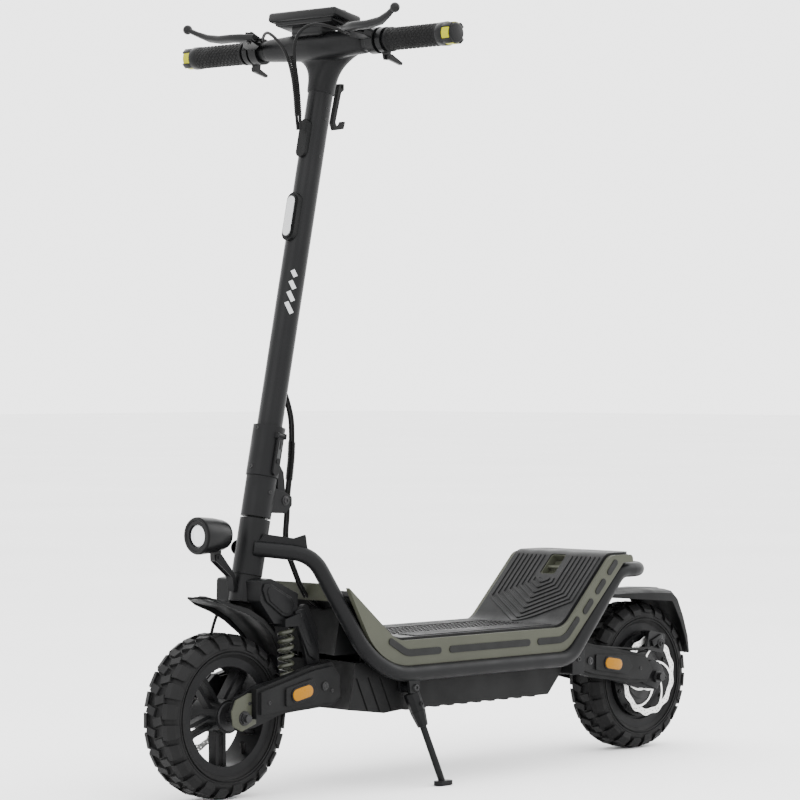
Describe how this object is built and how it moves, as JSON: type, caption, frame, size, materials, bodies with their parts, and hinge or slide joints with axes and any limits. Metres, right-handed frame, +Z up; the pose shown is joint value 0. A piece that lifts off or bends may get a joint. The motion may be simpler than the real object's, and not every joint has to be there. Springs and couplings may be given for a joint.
{
  "type": "electric scooter",
  "caption": "Folding electric kick scooter with swing-arm suspension, chunky tyres, tubular frame rails, S-shaped deck, kickstand, disc brakes and a rear hub motor",
  "frame": {"origin": "on the floor, below the middle of the scooter's length and width", "axes": "+X forward along the deck, +Y to the rider's left, +Z up"},
  "size_m": [1.2444, 0.608, 1.2308],
  "materials": {
    "painted_metal": "satin charcoal paint",
    "olive_plastic": "satin olive grey-green",
    "black_plastic": "matte textured black",
    "rubber": "matte black rubber",
    "tyre": "matte black tyre rubber",
    "steel": "brushed steel",
    "spring_paint": "gloss olive paint",
    "lever_alloy": "satin black anodised alloy",
    "amber": "moulded amber",
    "cap": "matte black with yellow windows",
    "clear": "clear moulded lens",
    "screen": "dark glossy screen"
  },
  "bodies": {
    "body": {"main_frame": "painted_metal", "frame_bearings": "steel", "deck_plate": "painted_metal", "deck_mat": "rubber", "catch_pocket": "olive_plastic", "side_panels": "olive_plastic", "side_inlays": "black_plastic", "battery_case": "black_plastic", "battery_pack": "black_plastic", "front_cover": "black_plastic", "body_cables": "rubber"},
    "stand": {"kickstand": "painted_metal"},
    "fork": {"steering_crown": "painted_metal", "front_yoke": "painted_metal", "front_fender": "black_plastic", "fork_pins": "steel", "lower_stem": "painted_metal", "headlight_bracket": "painted_metal", "front_brake_cable": "rubber"},
    "lamp": {"headlight_housing": "painted_metal", "headlight_lens": "clear"},
    "stem": {"fold_collar": "painted_metal", "stem_tube": "painted_metal", "bar_shell": "painted_metal", "handlebar": "painted_metal", "grips": "rubber", "grip_end_caps": "cap", "brake_perches": "black_plastic", "display_pod": "black_plastic", "display_screen": "screen", "stem_fittings": "black_plastic", "stem_cables": "rubber"},
    "latch": {"fold_latch": "spring_paint"},
    "hook": {"bag_hook": "black_plastic"},
    "lever_left": {"brake_lever_left": "lever_alloy"},
    "lever_right": {"brake_lever_right": "lever_alloy"},
    "throttle": {"throttle_lever": "black_plastic"},
    "signal": {"signal_lever": "black_plastic"},
    "button": {"display_button": "black_plastic"},
    "front_arm": {"front_swingarm": "painted_metal", "front_arm_covers": "black_plastic", "front_reflectors": "amber", "front_springs": "spring_paint", "front_axle": "steel", "front_caliper": "steel"},
    "front_wheel": {"front_tyre": "tyre", "front_rim": "painted_metal", "front_bearings": "steel", "front_rotor": "steel"},
    "rear_arm": {"rear_swingarm": "painted_metal", "rear_arm_covers": "black_plastic", "rear_reflectors": "amber", "rear_springs": "spring_paint", "rear_axle": "steel", "rear_caliper": "steel", "rear_fender": "black_plastic"},
    "rear_wheel": {"rear_tyre": "tyre", "hub_motor": "painted_metal", "rear_bearings": "steel", "rear_rotor": "steel"}
  },
  "joints": [
    {"name": "steering", "type": "hinge", "parent": "body", "child": "fork", "pos_m": [0.41967, 0, 0.385], "axis": [-0.2079, 0, 0.9781], "range_deg": [-40, 40], "deforming": ["body_cables"]},
    {"name": "stem_fold", "type": "hinge", "parent": "fork", "child": "stem", "pos_m": [0.362, 0, 0.456], "axis": [0, -1, 0], "range_deg": [0, 80], "deforming": ["stem_cables"]},
    {"name": "fold_latch", "type": "hinge", "parent": "stem", "child": "latch", "pos_m": [0.38289, 0.0295, 0.558], "axis": [0.9781, 0, 0.2079], "range_deg": [0, 70]},
    {"name": "bag_hook", "type": "hinge", "parent": "stem", "child": "hook", "pos_m": [0.224, 0, 1.113], "axis": [0, 1, 0], "range_deg": [0, 60]},
    {"name": "brake_lever_left", "type": "hinge", "parent": "stem", "child": "lever_left", "pos_m": [0.31585, 0.112, 1.1925], "axis": [-0.3939, 0, 0.9191], "range_deg": [0, 14], "stiffness_Nm_per_rad": 3, "springref_deg": -5.73},
    {"name": "brake_lever_right", "type": "hinge", "parent": "stem", "child": "lever_right", "pos_m": [0.31585, -0.112, 1.1925], "axis": [0.3939, 0, -0.9191], "range_deg": [0, 14], "stiffness_Nm_per_rad": 3, "springref_deg": -5.73},
    {"name": "throttle", "type": "hinge", "parent": "stem", "child": "throttle", "pos_m": [0.26785, -0.1505, 1.1485], "axis": [0, 1, 0], "range_deg": [0, 20], "stiffness_Nm_per_rad": 0.2, "springref_deg": -2.86},
    {"name": "signal", "type": "hinge", "parent": "stem", "child": "signal", "pos_m": [0.26785, 0.1505, 1.1485], "axis": [0, 1, 0], "range_deg": [0, 20], "stiffness_Nm_per_rad": 0.2, "springref_deg": -2.86},
    {"name": "display_button", "type": "slide", "parent": "stem", "child": "button", "axis": [0.2079, 0, -0.9781], "range_m": [0, 0.0015], "stiffness_N_per_m": 400, "springref_m": -0.001},
    {"name": "headlight_tilt", "type": "hinge", "parent": "fork", "child": "lamp", "pos_m": [0.494, 0, 0.372], "axis": [0, 1, 0], "range_deg": [-6, 8]},
    {"name": "front_suspension", "type": "hinge", "parent": "fork", "child": "front_arm", "pos_m": [0.338, 0, 0.168], "axis": [0, -1, 0], "range_deg": [0, 8], "stiffness_Nm_per_rad": 420, "springref_deg": -6.88, "deforming": ["front_springs", "front_brake_cable"]},
    {"name": "front_wheel_spin", "type": "hinge", "parent": "front_arm", "child": "front_wheel", "pos_m": [0.495, 0, 0.128], "axis": [0, 1, 0], "continuous": true},
    {"name": "rear_suspension", "type": "hinge", "parent": "body", "child": "rear_arm", "pos_m": [-0.293, 0, 0.168], "axis": [0, 1, 0], "range_deg": [0, 8], "stiffness_Nm_per_rad": 600, "springref_deg": -8.02, "deforming": ["rear_springs"]},
    {"name": "rear_wheel_spin", "type": "hinge", "parent": "rear_arm", "child": "rear_wheel", "pos_m": [-0.488, 0, 0.128], "axis": [0, 1, 0], "continuous": true},
    {"name": "kickstand", "type": "hinge", "parent": "body", "child": "stand", "pos_m": [0.172, 0.104, 0.1565], "axis": [0, 1, 0], "range_deg": [0, 60]}
  ]
}
